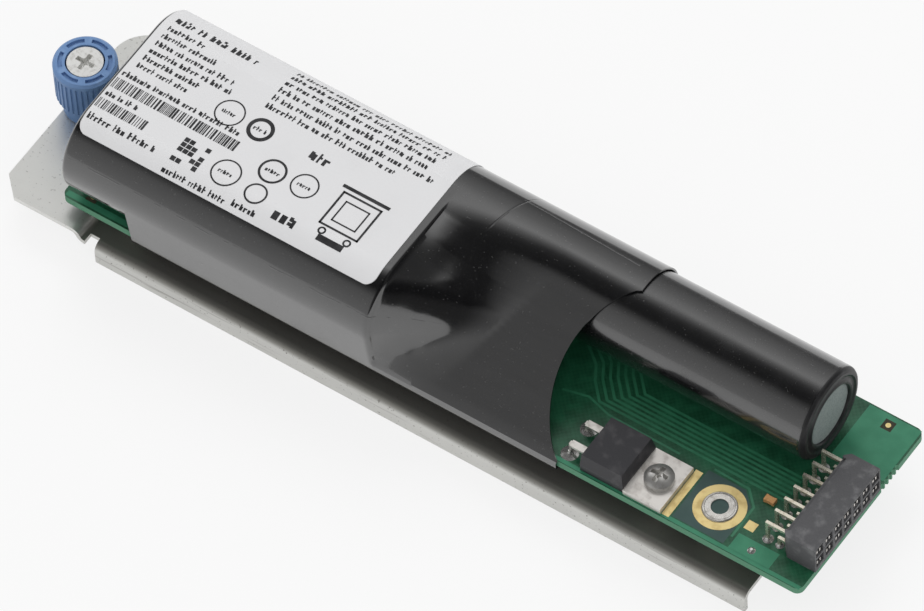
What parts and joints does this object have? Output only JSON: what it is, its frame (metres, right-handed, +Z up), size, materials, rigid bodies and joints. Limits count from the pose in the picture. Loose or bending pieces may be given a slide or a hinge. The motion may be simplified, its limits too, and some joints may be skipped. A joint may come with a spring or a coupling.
{
  "type": "raid battery module",
  "caption": "Battery module for a disk-array controller: cells in black shrink sleeve on a long circuit board, carried by a folded steel bracket with a captive thumbscrew",
  "frame": {"origin": "Bottom centre of the part's box, on the plane that the bracket's lips stand on", "axes": "+X along the module towards the connector, +Y from the front edge to the back row of cells, +Z up from the bracket"},
  "size_m": [0.1756, 0.044, 0.032],
  "materials": {
    "zinc_steel": "zinc plated sheet and hardware",
    "nickel_plate": "nickel",
    "board_green": "green solder mask over glass epoxy",
    "cell_can": "nickel-plated steel can",
    "cell_film": "thin shrink film",
    "black_film": "glossy black shrink sleeve",
    "paper_ring": "fish paper",
    "grey_disc": "grey fibre disc",
    "dark_foam": "firm closed-cell foam",
    "label_paper": "pale printed label",
    "black_moulding": "moulded black plastic",
    "gold_plate": "gold flash",
    "tinned_copper": "tin plate",
    "tan_ceramic": "bare ceramic",
    "blue_moulding": "moulded blue plastic",
    "white_nylon": "white nylon"
  },
  "bodies": {
    "module": {"mounting_bracket": "zinc_steel", "board_standoffs": "nickel_plate", "circuit_board": "board_green", "cell_front": "cell_can", "cell_back_left": "cell_can", "cell_back_right": "cell_can", "cell_wrap_front": "cell_film", "cell_wrap_back": "cell_film", "end_sleeve": "black_film", "insulator_rings": "paper_ring", "end_disc": "grey_disc", "positive_strip": "nickel_plate", "negative_strip": "nickel_plate", "end_strip": "nickel_plate", "foam_pads": "dark_foam", "cell_spacer": "dark_foam", "main_sleeve": "black_film", "label": "label_paper", "connector_housing": "black_moulding", "contacts_upper": "gold_plate", "contacts_lower": "gold_plate", "resistor_body": "black_moulding", "resistor_flag": "tinned_copper", "resistor_leads": "tinned_copper", "resistor_screw": "zinc_steel", "resistor_nut": "zinc_steel", "chip_capacitor": "tan_ceramic"},
    "screw_carrier": {"retaining_washer": "white_nylon"},
    "thumbscrew": {"thumbscrew_knob": "blue_moulding", "thumbscrew_screw": "zinc_steel"}
  },
  "joints": [
    {"name": "thumbscrew_lift", "type": "slide", "parent": "module", "child": "screw_carrier", "axis": [0, 0, 1], "range_m": [0, 0.0014]},
    {"name": "thumbscrew_turn", "type": "hinge", "parent": "screw_carrier", "child": "thumbscrew", "pos_m": [-0.0818, 0.0023, 0.0043], "axis": [0, 0, 1], "continuous": true}
  ]
}
